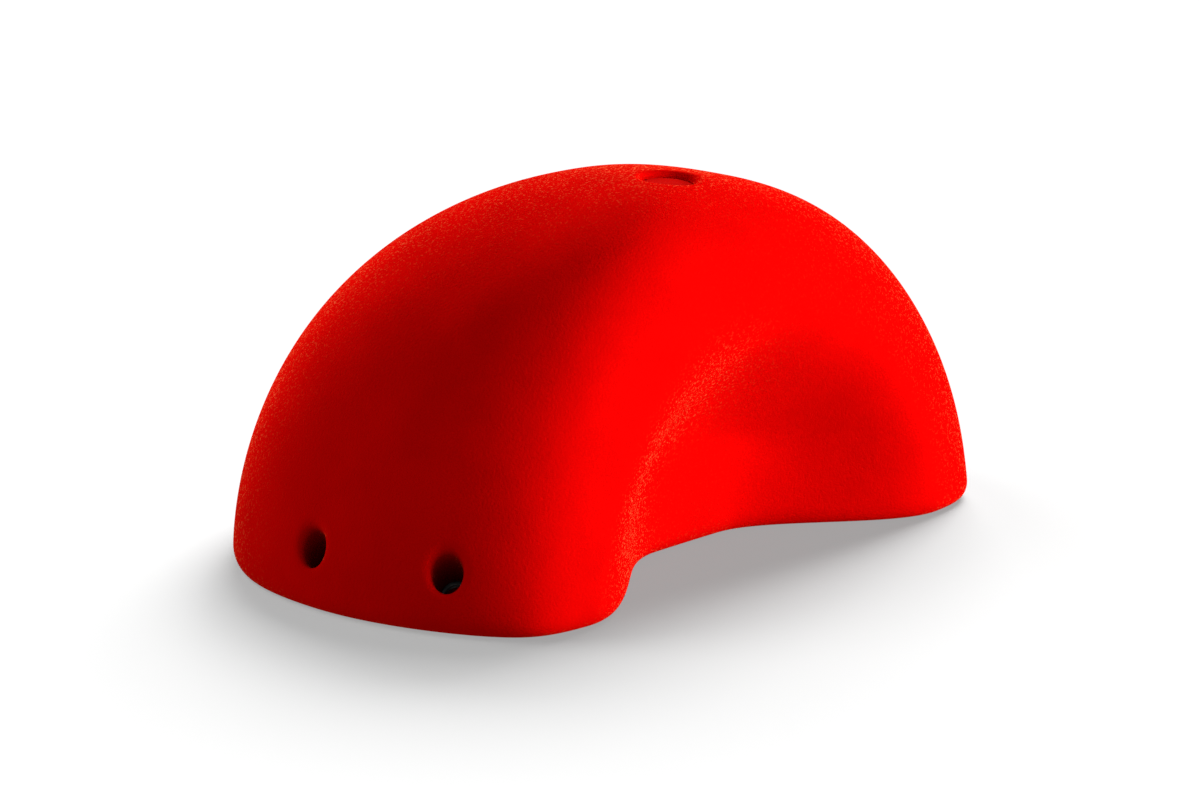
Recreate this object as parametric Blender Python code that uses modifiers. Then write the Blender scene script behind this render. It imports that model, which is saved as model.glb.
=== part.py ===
# Jug climbing hold: a hollow-backed casting with four screw washers and a crown disc.
# Frame: the flat rim lies on the wall at Z = 0 and +Z points away from the wall. X runs along the hold,
# and the finger pocket opens towards -Y. The origin is the middle of the outline, on the wall.

import math

import bmesh
import bpy
import numpy as np
from mathutils import Matrix, Vector

# Driving dimensions, in metres and degrees

LENGTH = 0.270
HEIGHT = 0.120
FRONT_DEPTH = 0.0768
BACK_DEPTH = 0.0969

# Outline of the foot, as turns round it in degrees with shares of half the length and of the depth there.
# The front corners are squarer than the back ones, and the ends taper towards the front.
FOOT_OUTLINE = [
    (-90, 0.000, -1.000),
    (-64, 0.629, -1.005),
    (-42, 0.847, -0.861),
    (-21, 0.964, -0.440),
    (2, 1.000, 0.022),
    (33, 0.876, 0.511),
    (62, 0.484, 0.870),
    (90, 0.000, 1.000),
]

# Towards the crown the outline turns into a superellipse. Each pair is front and back.
CROWN_SQUARENESS = (3.0, 2.37)
OUTLINE_BLEND = 0.785

# How the half length and the two depths close with height: share = (1 - h ** rise) ** (1 / round)
END_CLOSE = (1.91, 1.87)
FRONT_CLOSE = (2.13, 2.41)
BACK_CLOSE = (2.88, 2.38)

# The crown lies forward of the foot: a steady lean, and a late one near the top, each with its rise
STEADY_LEAN = 0.0121
STEADY_RISE = 1.25
LATE_LEAN = 0.0092
LATE_RISE = 4

EDGE_INSET = 0.0040
EDGE_HEIGHT = 0.0064

# Finger pocket: an arch scooped out of the front, deepest in the middle of its foot
POCKET_DEPTH = 0.0359
POCKET_HALF_WIDTH = 0.0864
POCKET_HEIGHT = 0.104
POCKET_FLAT_SHARE = 0.20
POCKET_ARCH = 1.7

# The scoop fades in from the ends to the front, between these shares of the front depth
POCKET_FADE = (0.15, 0.75)

# Hollow back
WALL = 0.009
RIB_THICKNESS = 0.006
RIB_SPACING = 0.084

# Screw wells: each is aimed at a spot on the end face, and slants in towards the wall
WELL_TURNS = (-29.5, 0)
WELL_HEIGHT = 0.0205
WELL_DIAMETER = 0.0098
WELL_SLANT = 42
WELL_SEAT_HEIGHT = 0.0085
LIP_DEPTH = 0.0028
LIP_WIDENING = 0.0005
BOSS_WALL = 0.005
SCREW_HOLE_DIAMETER = 0.0064

WASHER_THICKNESS = 0.0016
WASHER_DISH = 0.0004
WASHER_EDGE = 0.0003

# Crown disc and the recess that it sits in, tilted forward with the dome there
DISC_DIAMETER = 0.0165
DISC_THICKNESS = 0.0022
DISC_EDGE = 0.0005
DISC_DOME = 0.0004
DISC_FORWARD = 0.006
DISC_TILT = 4
DISH_DIAMETER = 0.0208
DISH_DEPTH = 0.0015
DISC_STANDS = 0.0002

SEAT_GAP = 0.0003

# Fineness of the meshes
OUTLINE_STEPS = 96
DOME_STEPS = 26
EDGE_STEPS = 4
CAVITY_OUTLINE_STEPS = 64
CAVITY_DOME_STEPS = 12
TURNED_STEPS = 32
DISC_STEPS = 4
SHARP_EDGE = 31

# How far up the dome the last outline lies, in degrees, and how close points are that become one
LAST_RING = 87.5
MERGE_DISTANCE = 0.00001

HALF_LENGTH = LENGTH / 2
OVERCUT = 0.005


def smooth_step(value):
    """Ease from 0 to 1 as value does, for numbers and arrays."""
    value = np.clip(value, 0, 1)
    return value * value * (3 - 2 * value)


def outline_knots():
    """Turns and places of the foot outline's points, with the left half mirrored from the right."""
    right = [(math.radians(turn), x, y) for turn, x, y in FOOT_OUTLINE]
    left = [(math.pi - turn, -x, y) for turn, x, y in right[-2:0:-1]]
    knots = np.array(right + left)
    return knots[:, 0], knots[:, 1:]


def knot_slopes(knots, widths):
    """Slopes at the knots of the closed curve that bends without a jump."""
    count = len(knots)
    matrix = np.zeros((count, count))
    pull = np.zeros_like(knots)
    for i in range(count):
        j = (i + 1) % count
        before, after = widths[i - 1], widths[i]
        matrix[i, i - 1] += 1 / before
        matrix[i, i] += 2 / before + 2 / after
        matrix[i, j] += 1 / after
        pull[i] = 3 * ((knots[i] - knots[i - 1]) / before**2 + (knots[j] - knots[i]) / after**2)
    return np.linalg.solve(matrix, pull)


def foot_outline(turns):
    """Points on the closed cubic curve through the foot outline's points."""
    knot_turns, knots = outline_knots()
    whole = 2 * math.pi
    widths = np.diff(knot_turns, append=knot_turns[0] + whole)
    slopes = knot_slopes(knots, widths)
    turns = (turns - knot_turns[0]) % whole + knot_turns[0]
    first = np.searchsorted(knot_turns, turns, side="right") - 1
    second = (first + 1) % len(knots)
    width = widths[first][:, None]
    s = (turns - knot_turns[first])[:, None] / width
    return (
        (2 * s**3 - 3 * s**2 + 1) * knots[first]
        + (s**3 - 2 * s**2 + s) * width * slopes[first]
        + (3 * s**2 - 2 * s**3) * knots[second]
        + (s**3 - s**2) * width * slopes[second]
    )


def crown_outline(turns):
    """Points on the unit superellipse that the outline turns into at the crown."""
    cosine, sine = np.cos(turns), np.sin(turns)
    power = 2 / np.where(sine < 0, CROWN_SQUARENESS[0], CROWN_SQUARENESS[1])
    x = np.sign(cosine) * np.abs(cosine) ** power
    y = np.sign(sine) * np.abs(sine) ** power
    return np.stack([x, y], axis=-1)


def closing(share, pair):
    """How much of a half width is left at this share of the height."""
    rise, roundness = pair
    return (1 - share**rise) ** (1 / roundness)


def edge_inset(z):
    """How far the rounded bottom edge draws the outline in at height z."""
    below = 1 - np.clip(z / EDGE_HEIGHT, 0, 1)
    return EDGE_INSET * (1 - np.sqrt(1 - below**2))


def pocket_depth(x, z):
    """How far the finger pocket is scooped back at a place on the front."""
    across = np.abs(x) / POCKET_HALF_WIDTH
    up = z / POCKET_HEIGHT
    reach = (across**POCKET_ARCH + up**POCKET_ARCH) ** (1 / POCKET_ARCH)
    edge = (reach - POCKET_FLAT_SHARE) / (1 - POCKET_FLAT_SHARE)
    return POCKET_DEPTH * (1 - smooth_step(edge))


def ring(turns, z, rounded=True):
    """One level outline of the hold at height z, before the outline is centred."""
    share = z / HEIGHT
    blend = share**OUTLINE_BLEND
    outline = (1 - blend) * foot_outline(turns) + blend * crown_outline(turns)
    across, deep = outline[:, 0], outline[:, 1]
    inset = edge_inset(z) if rounded else 0.0
    x = (HALF_LENGTH * closing(share, END_CLOSE) - inset) * across
    front = (FRONT_DEPTH * closing(share, FRONT_CLOSE) - inset) * deep
    back = (BACK_DEPTH * closing(share, BACK_CLOSE) - inset) * deep
    y = np.where(deep < 0, front, back)
    start, end = POCKET_FADE
    fade = smooth_step((-deep - start) / (end - start))
    y = y + pocket_depth(x, z) * fade
    y = y - STEADY_LEAN * share**STEADY_RISE - LATE_LEAN * share**LATE_RISE
    return np.stack([x, y, np.full_like(x, z)], axis=-1)


def even_turns(count):
    """Turns spread evenly round the outline."""
    return np.arange(count) * 2 * math.pi / count


def outline_middle():
    """Y of the middle of the widest outline, which becomes Y = 0."""
    widest = ring(even_turns(OUTLINE_STEPS), EDGE_HEIGHT)
    return (widest[:, 1].min() + widest[:, 1].max()) / 2


MIDDLE = outline_middle()


def dome_point(turn, z):
    """A point on the outside and its outward normal, by the slopes round and up the dome."""
    step = math.radians(0.5)
    rise = 0.0005
    turns = np.array([turn - step, turn, turn + step])
    level = ring(turns, z)
    above = ring(turns, z + rise)
    normal = Vector(level[2] - level[0]).cross(Vector(above[1] - level[1])).normalized()
    return Vector(level[1]) - Vector((0, MIDDLE, 0)), normal


def crown_height(y):
    """Height of the dome above the middle line at this Y, found by closing in on it."""
    low, high = HEIGHT / 2, HEIGHT * 0.9999
    turn = np.array([-math.pi / 2])
    for _ in range(40):
        z = (low + high) / 2
        if ring(turn, z)[0, 1] - MIDDLE < y:
            low = z
        else:
            high = z
    return low


def clear_scene():
    """Remove the objects that are in the scene."""
    for found in list(bpy.data.objects):
        bpy.data.objects.remove(found)


def new_collection(name):
    """A collection linked to the scene."""
    made = bpy.data.collections.new(name)
    bpy.context.scene.collection.children.link(made)
    return made


def plain_material(name, color, roughness, metallic=0.0):
    """A Principled material with one colour."""
    made = bpy.data.materials.new(name)
    made.use_nodes = True
    shader = made.node_tree.nodes["Principled BSDF"]
    shader.inputs["Base Color"].default_value = (*color, 1.0)
    shader.inputs["Roughness"].default_value = roughness
    shader.inputs["Metallic"].default_value = metallic
    return made


def add_object(name, mesh, collection, material=None):
    """An object for this mesh, in this collection."""
    made = bpy.data.objects.new(name, mesh)
    collection.objects.link(made)
    if material:
        mesh.materials.append(material)
    return made


def loft(name, rings):
    """A closed mesh of triangles through rings of equal count, counter-clockwise from the bottom up."""
    shape = bmesh.new()
    levels = [[shape.verts.new(point) for point in level] for level in rings]
    pole = shape.verts.new(np.mean(rings[-1], axis=0))
    count = len(levels[0])
    for lower, upper in zip(levels, levels[1:]):
        for i in range(count):
            j = (i + 1) % count
            shape.faces.new((lower[i], lower[j], upper[j], upper[i]))
    for i in range(count):
        shape.faces.new((levels[-1][i], levels[-1][(i + 1) % count], pole))
    shape.faces.new(list(reversed(levels[0])))
    bmesh.ops.triangulate(shape, faces=shape.faces[:])
    mesh = bpy.data.meshes.new(name)
    shape.to_mesh(mesh)
    shape.free()
    return mesh


def dome_heights(count):
    """Heights that crowd together towards the crown, from the top of the rounded edge up."""
    lowest = math.asin(EDGE_HEIGHT / HEIGHT)
    angles = np.linspace(lowest, math.radians(LAST_RING), count)
    return [HEIGHT * math.sin(angle) for angle in angles]


def outer_mesh():
    """The outside of the hold as one solid."""
    turns = even_turns(OUTLINE_STEPS)
    edge = [EDGE_HEIGHT * (1 - math.cos(math.pi / 2 * i / EDGE_STEPS)) for i in range(EDGE_STEPS)]
    shift = np.array([0, MIDDLE, 0])
    rings = [ring(turns, z) - shift for z in edge + dome_heights(DOME_STEPS)]
    return loft("hold_body", rings)


def cavity_mesh():
    """The hollow behind the wall: the outside moved in by the wall along its normals."""
    turns = even_turns(CAVITY_OUTLINE_STEPS)
    shift = np.array([0, MIDDLE, 0])
    heights = [0.0] + dome_heights(CAVITY_DOME_STEPS)
    outside = np.array([ring(turns, z, rounded=False) - shift for z in heights])
    around = np.roll(outside, -1, axis=1) - np.roll(outside, 1, axis=1)
    upward = np.gradient(outside, axis=0)
    normals = np.cross(around, upward)
    normals /= np.linalg.norm(normals, axis=-1, keepdims=True)
    inside = outside - WALL * normals
    foot = inside[0].copy()
    foot[:, 2] = -OVERCUT
    return loft("cavity", [foot] + [level for level in inside[1:]])


def turned_object(name, profile, collection, material=None):
    """A solid turned about its own Z from a profile that starts and ends on the axis or closes on itself."""
    shape = bmesh.new()
    points = [shape.verts.new((radius, 0, z)) for radius, z in profile]
    for first, second in zip(points, points[1:]):
        shape.edges.new((first, second))
    if profile[0][0] > 0:
        shape.edges.new((points[-1], points[0]))
    mesh = bpy.data.meshes.new(name)
    shape.to_mesh(mesh)
    shape.free()
    made = add_object(name, mesh, collection, material)
    screw = made.modifiers.new("turn", "SCREW")
    screw.steps = TURNED_STEPS
    screw.render_steps = TURNED_STEPS
    screw.use_merge_vertices = True
    screw.merge_threshold = MERGE_DISTANCE
    return made


def place(made, origin, up):
    """Stand an object on a point with its Z along a direction."""
    made.matrix_world = Matrix.Translation(origin) @ up.to_track_quat("Z", "Y").to_matrix().to_4x4()


def cut(target, cutter):
    """Take one object away from another, and leave it as a wire guide."""
    cutter.hide_render = True
    cutter.display_type = "WIRE"
    boolean = target.modifiers.new(cutter.name, "BOOLEAN")
    boolean.operation = "DIFFERENCE"
    boolean.solver = "EXACT"
    boolean.object = cutter


def settle(made):
    """Turn an object's modifiers into its mesh, smooth but with its sharp edges kept."""
    shaped = made.evaluated_get(bpy.context.evaluated_depsgraph_get())
    mesh = bpy.data.meshes.new_from_object(shaped)
    made.modifiers.clear()
    made.data = mesh
    mesh.shade_smooth()
    mesh.set_sharp_from_angle(angle=math.radians(SHARP_EDGE))


class Well:
    """One screw well: the spot where it opens, its axis out of the hold and its seat."""

    def __init__(self, side, end, turn):
        self.name = f"{side}_{end}"
        spot, normal = dome_point(math.radians(turn), WELL_HEIGHT)
        if side == "left":
            spot.x = -spot.x
            normal.x = -normal.x
        outward = Vector((normal.x, normal.y, 0)).normalized()
        slant = math.radians(WELL_SLANT)
        self.axis = outward * math.sin(slant) + Vector((0, 0, math.cos(slant)))
        self.spot = spot
        self.seat = spot - self.axis * (WELL_HEIGHT - WELL_SEAT_HEIGHT) / self.axis.z
        self.depth = (self.spot - self.seat).length


def make_wells():
    """The four wells, two at each end."""
    ends = zip(("front", "back"), WELL_TURNS)
    return [Well(side, end, turn) for end, turn in ends for side in ("left", "right")]


def boss_cutter(well, collection):
    """Solid round a well, kept out of the hollow."""
    radius = WELL_DIAMETER / 2 + BOSS_WALL
    start = -well.seat.z / well.axis.z - 2 * radius
    end = well.depth + 2 * radius
    profile = [(0, end), (radius, end), (radius, start), (0, start)]
    boss = turned_object(f"boss_{well.name}", profile, collection)
    place(boss, well.seat, well.axis)
    return boss


def well_cutter(well, collection):
    """The well with its widened lip, and the screw hole through its floor."""
    bore = WELL_DIAMETER / 2
    hole = SCREW_HOLE_DIAMETER / 2
    through = -(well.seat.z + 2 * OVERCUT) / well.axis.z
    lip = well.depth - LIP_DEPTH
    far = well.depth + 2 * WELL_DIAMETER
    widening = LIP_WIDENING / LIP_DEPTH
    profile = [
        (0, far),
        (bore + widening * (far - lip), far),
        (bore, lip),
        (bore, 0),
        (hole, 0),
        (hole, through),
        (0, through),
    ]
    cutter = turned_object(f"well_{well.name}", profile, collection)
    place(cutter, well.seat, well.axis)
    return cutter


def rib_cutter(name, x, collection):
    """A cross rib, kept out of the hollow from front to back."""
    bpy.ops.mesh.primitive_cube_add(size=1, location=(x, 0, HEIGHT / 2 - OVERCUT))
    rib = bpy.context.object
    rib.name = name
    rib.dimensions = (RIB_THICKNESS, 2 * (FRONT_DEPTH + BACK_DEPTH), HEIGHT + 2 * OVERCUT)
    for held in list(rib.users_collection):
        held.objects.unlink(rib)
    collection.objects.link(rib)
    return rib


def disc_place():
    """Where the crown disc's dish opens: on the dome, a little forward of the crown."""
    crown_y = -STEADY_LEAN - LATE_LEAN - MIDDLE
    y = crown_y - DISC_FORWARD
    return Vector((0, y, crown_height(y)))


def disc_axis():
    """Which way the crown disc faces."""
    tilt = math.radians(DISC_TILT)
    return Vector((0, -math.sin(tilt), math.cos(tilt)))


def recess_cutter(spot, collection):
    """The dish and the round pocket under it that takes the disc."""
    dish = DISH_DIAMETER / 2
    pocket = DISC_DIAMETER / 2 + SEAT_GAP
    floor = disc_base() - SEAT_GAP
    slope = (dish - pocket) / DISH_DEPTH
    top = 2 * DISH_DEPTH
    profile = [(0, top), (dish + slope * top, top), (pocket, -DISH_DEPTH), (pocket, floor), (0, floor)]
    cutter = turned_object("crown_recess", profile, collection)
    place(cutter, spot, disc_axis())
    return cutter


def disc_base():
    """How far along its axis the disc's underside lies from the place where its dish opens."""
    return -DISH_DEPTH + DISC_STANDS - DISC_THICKNESS


def make_body(wells, spot, parts, cutters):
    """The casting: outside, less the hollow, the wells and the crown recess."""
    body = add_object("hold_body", outer_mesh(), parts, plain_material("cast_red", (0.75, 0.005, 0.003), 0.62))
    cavity = add_object("cavity", cavity_mesh(), cutters)
    for side in (-1, 1):
        cut(cavity, rib_cutter(f"rib_{side}", side * RIB_SPACING / 2, cutters))
    for well in wells:
        cut(cavity, boss_cutter(well, cutters))
    cut(body, cavity)
    for well in wells:
        cut(body, well_cutter(well, cutters))
    cut(body, recess_cutter(spot, cutters))
    settle(body)


def make_washer(well, parts, steel):
    """A dished steel washer on the floor of a well."""
    outer = WELL_DIAMETER / 2 - SEAT_GAP
    inner = SCREW_HOLE_DIAMETER / 2
    dish = inner + WASHER_DISH
    base = SEAT_GAP
    top = base + WASHER_THICKNESS
    profile = [
        (dish, top),
        (outer - WASHER_EDGE, top),
        (outer, top - WASHER_EDGE),
        (outer, base),
        (inner, base),
        (inner, top - WASHER_DISH),
    ]
    washer = turned_object(f"screw_washer_{well.name}", profile, parts, steel)
    place(washer, well.seat, well.axis)
    settle(washer)


def make_disc(spot, parts):
    """The smooth crown disc, slightly domed, in its recess."""
    radius = DISC_DIAMETER / 2
    shoulder = DISC_THICKNESS - DISC_EDGE - DISC_DOME
    top = []
    for i in range(DISC_STEPS + 1):
        share = i / DISC_STEPS
        top.append(((radius - DISC_EDGE) * share, DISC_THICKNESS - DISC_DOME * share**2))
    profile = top + [(radius, shoulder), (radius, 0), (0, 0)]
    disc = turned_object("badge_disc", profile, parts, plain_material("gloss_red", (0.55, 0.004, 0.003), 0.15))
    place(disc, spot + disc_axis() * disc_base(), disc_axis())
    settle(disc)


def main():
    """Build the hold."""
    clear_scene()
    parts = new_collection("jug_climbing_hold")
    cutters = new_collection("cutters")
    wells = make_wells()
    spot = disc_place()
    make_body(wells, spot, parts, cutters)
    steel = plain_material("zinc_steel", (0.56, 0.56, 0.55), 0.35, metallic=1.0)
    for well in wells:
        make_washer(well, parts, steel)
    make_disc(spot, parts)


main()
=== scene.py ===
# Jug climbing hold in a white studio: the casting, its crown disc and its four screw washers.
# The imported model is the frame. The casting's skin is a Geometry Nodes loft, and its wells and dish
# are cut with rounded lips that follow that skin.
import math

import bmesh
import bpy
import numpy as np
from mathutils import Matrix, Vector
from mathutils.bvhtree import BVHTree


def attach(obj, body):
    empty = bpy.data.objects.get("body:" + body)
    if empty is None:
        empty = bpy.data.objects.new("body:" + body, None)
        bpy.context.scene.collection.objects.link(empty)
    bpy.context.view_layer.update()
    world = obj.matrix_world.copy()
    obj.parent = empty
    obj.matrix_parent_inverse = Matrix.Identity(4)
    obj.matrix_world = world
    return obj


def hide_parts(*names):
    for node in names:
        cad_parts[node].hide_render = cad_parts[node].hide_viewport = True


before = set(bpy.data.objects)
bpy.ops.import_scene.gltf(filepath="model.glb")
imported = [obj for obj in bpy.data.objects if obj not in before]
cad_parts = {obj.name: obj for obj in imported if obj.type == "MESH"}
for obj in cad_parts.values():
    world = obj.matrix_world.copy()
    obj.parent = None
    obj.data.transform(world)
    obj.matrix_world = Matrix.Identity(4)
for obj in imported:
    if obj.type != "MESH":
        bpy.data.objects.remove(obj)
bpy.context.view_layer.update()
print("frame loaded:", sorted(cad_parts))


# Small helpers for node trees

def plug(tree, socket, value):
    # links a socket, or sets a plain value
    if isinstance(value, bpy.types.NodeSocket):
        tree.links.new(value, socket)
    else:
        socket.default_value = value


def calc(tree, operation, *values):
    node = tree.nodes.new("ShaderNodeMath")
    node.operation = operation
    for socket, value in zip(node.inputs, values):
        plug(tree, socket, value)
    return node.outputs[0]


def easeBetween(tree, value, fromMin, fromMax, toMin, toMax):
    # smooth step from one range to another
    node = tree.nodes.new("ShaderNodeMapRange")
    node.interpolation_type = "SMOOTHSTEP"
    for socket, given in zip(node.inputs, (value, fromMin, fromMax, toMin, toMax)):
        plug(tree, socket, given)
    return node.outputs[0]


def mixColours(tree, share, first, second):
    node = tree.nodes.new("ShaderNodeMix")
    node.data_type = "RGBA"
    for index, value in ((0, share), (6, first), (7, second)):
        plug(tree, node.inputs[index], value)
    return node.outputs[2]


def addSockets(tree, direction, sockets):
    for name, kind, value in sockets:
        socket = tree.interface.new_socket(name, in_out=direction, socket_type=kind)
        if value is not None:
            socket.default_value = value


def newGroup(name, kind, inputs, outputs):
    tree = bpy.data.node_groups.new(name, kind)
    addSockets(tree, "INPUT", inputs)
    addSockets(tree, "OUTPUT", outputs)
    return tree, tree.nodes.new("NodeGroupInput"), tree.nodes.new("NodeGroupOutput")


def setInputs(modifier, values):
    # a modifier's inputs go by the socket's identifier
    sockets = {item.name: item.identifier for item in modifier.node_group.interface.items_tree
               if item.item_type == "SOCKET" and item.in_out == "INPUT"}
    for name, value in values.items():
        modifier[sockets[name]] = value


def bake(made, name):
    # a plain mesh object of what the modifiers make, at the origin
    bpy.context.view_layer.update()
    shaped = made.evaluated_get(bpy.context.evaluated_depsgraph_get())
    mesh = bpy.data.meshes.new_from_object(shaped)
    mesh.name = name
    bpy.data.objects.remove(made)
    return addObject(name, mesh)


def paintAll(made, material):
    # one finish on every face, also on those that a cut has made
    made.data.materials.clear()
    made.data.materials.append(material)
    made.data.polygons.foreach_set("material_index", [0] * len(made.data.polygons))


def addObject(name, mesh):
    made = bpy.data.objects.new(name, mesh)
    bpy.context.scene.collection.objects.link(made)
    return made


# The casting's shape, with lengths in metres. The height, both depths, the outline's places and its
# blend, the crown's squareness, the closing values, the leans and the edge are rounded results of a
# least-squares fit to the photograph. So are the pocket's depth and half width. The outline's turns
# and the rest of the pocket were given.

casting = {
    "length": 0.270,
    "height": 0.120,
    "frontDepth": 0.0768,
    "backDepth": 0.0969,
    # turn in degrees, then the place as shares of the half length and of the front's or back's depth
    "outline": [(-90, 0.0, -1.0), (-64, 0.629, -1.005), (-42, 0.847, -0.861), (-21, 0.964, -0.440),
                (2, 1.0, 0.022), (33, 0.876, 0.511), (62, 0.484, 0.870), (90, 0.0, 1.0)],
    "outlineBlend": 0.785,  # the power with which the foot's outline turns into the crown's
    "crownSquareness": (3.0, 2.37),  # front and back
    "endClose": (1.91, 1.87),  # how a half width closes with height: rise and roundness
    "frontClose": (2.13, 2.41),
    "backClose": (2.88, 2.38),
    "middle": 0.009895,  # the outline's middle lies this far behind the point it is drawn about
    "edgeInset": 0.0040,
    "edgeHeight": 0.0064,
    "pocketDepth": 0.0359,
    "pocketHalfWidth": 0.0864,
    "pocketHeight": 0.088,
    "pocketArch": 1.9,
    "pocketFlat": (0.18, 0.36),  # the flat share of the pocket's floor, at the foot and from flatRise up
    "flatRise": 0.4,
    "pocketFade": (0.15, 0.75),
    "steadyLean": 0.0121,
    "steadyRise": 1.25,
    "lateLean": 0.0092,
    "lateRise": 4.0,
    "crowding": 1.6,  # the power that crowds the levels together at the rounded edge
    "lastRing": 89.4,  # how far up the dome the last level lies, in degrees
    "sharpAngle": 30,
    "turns": 448,
    "levels": 150,
    "hollowTurns": 168,
    "hollowLevels": 44,
    "wall": 0.009,
    "ribThickness": 0.006,
    "ribSpacing": 0.084,
    "overcut": 0.005,
}


def outlineKnots():
    right = [(math.radians(turn), x, y) for turn, x, y in casting["outline"]]
    left = [(math.pi - turn, -x, y) for turn, x, y in right[-2:0:-1]]
    knots = np.array(right + left)
    return knots[:, 0], knots[:, 1:]


def knotSlopes(knots, widths):
    # slopes of the closed cubic whose bend never jumps
    count = len(knots)
    matrix = np.zeros((count, count))
    pull = np.zeros_like(knots)
    for i in range(count):
        j = (i + 1) % count
        before, after = widths[i - 1], widths[i]
        matrix[i, i - 1] += 1 / before
        matrix[i, i] += 2 / before + 2 / after
        matrix[i, j] += 1 / after
        pull[i] = 3 * ((knots[i] - knots[i - 1]) / before**2 + (knots[j] - knots[i]) / after**2)
    return np.linalg.solve(matrix, pull)


def footOutline(turns):
    knotTurns, knots = outlineKnots()
    whole = 2 * math.pi
    widths = np.diff(knotTurns, append=knotTurns[0] + whole)
    slopes = knotSlopes(knots, widths)
    turns = (turns - knotTurns[0]) % whole + knotTurns[0]
    first = np.searchsorted(knotTurns, turns, side="right") - 1
    second = (first + 1) % len(knots)
    width = widths[first][:, None]
    s = (turns - knotTurns[first])[:, None] / width
    return ((2 * s**3 - 3 * s**2 + 1) * knots[first] + (s**3 - 2 * s**2 + s) * width * slopes[first]
            + (3 * s**2 - 2 * s**3) * knots[second] + (s**3 - s**2) * width * slopes[second])


def crownOutline(turns):
    cosine, sine = np.cos(turns), np.sin(turns)
    power = 2 / np.where(sine < 0, *casting["crownSquareness"])
    return np.stack([np.sign(part) * np.abs(part) ** power for part in (cosine, sine)], axis=-1)


def outlineObject(name, count):
    # a ring of points at the foot's outline, each with its place on the crown's outline
    turns = np.arange(count) * 2 * math.pi / count
    foot, crown = footOutline(turns), crownOutline(turns)
    mesh = bpy.data.meshes.new(name)
    mesh.from_pydata([(x, y, 0) for x, y in foot], [(i, (i + 1) % count) for i in range(count)], [])
    crownPlace = mesh.attributes.new("crownPlace", "FLOAT_VECTOR", "POINT")
    crownPlace.data.foreach_set("vector", np.column_stack([crown, np.zeros(count)]).ravel())
    return addObject(name, mesh)


def closingShare(tree, share, rise, roundness):
    # how much of a half width is left at this share of the height
    left = calc(tree, "SUBTRACT", 1.0, calc(tree, "POWER", share, rise))
    return calc(tree, "POWER", calc(tree, "MAXIMUM", left, 0.0), 1 / roundness)


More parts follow.
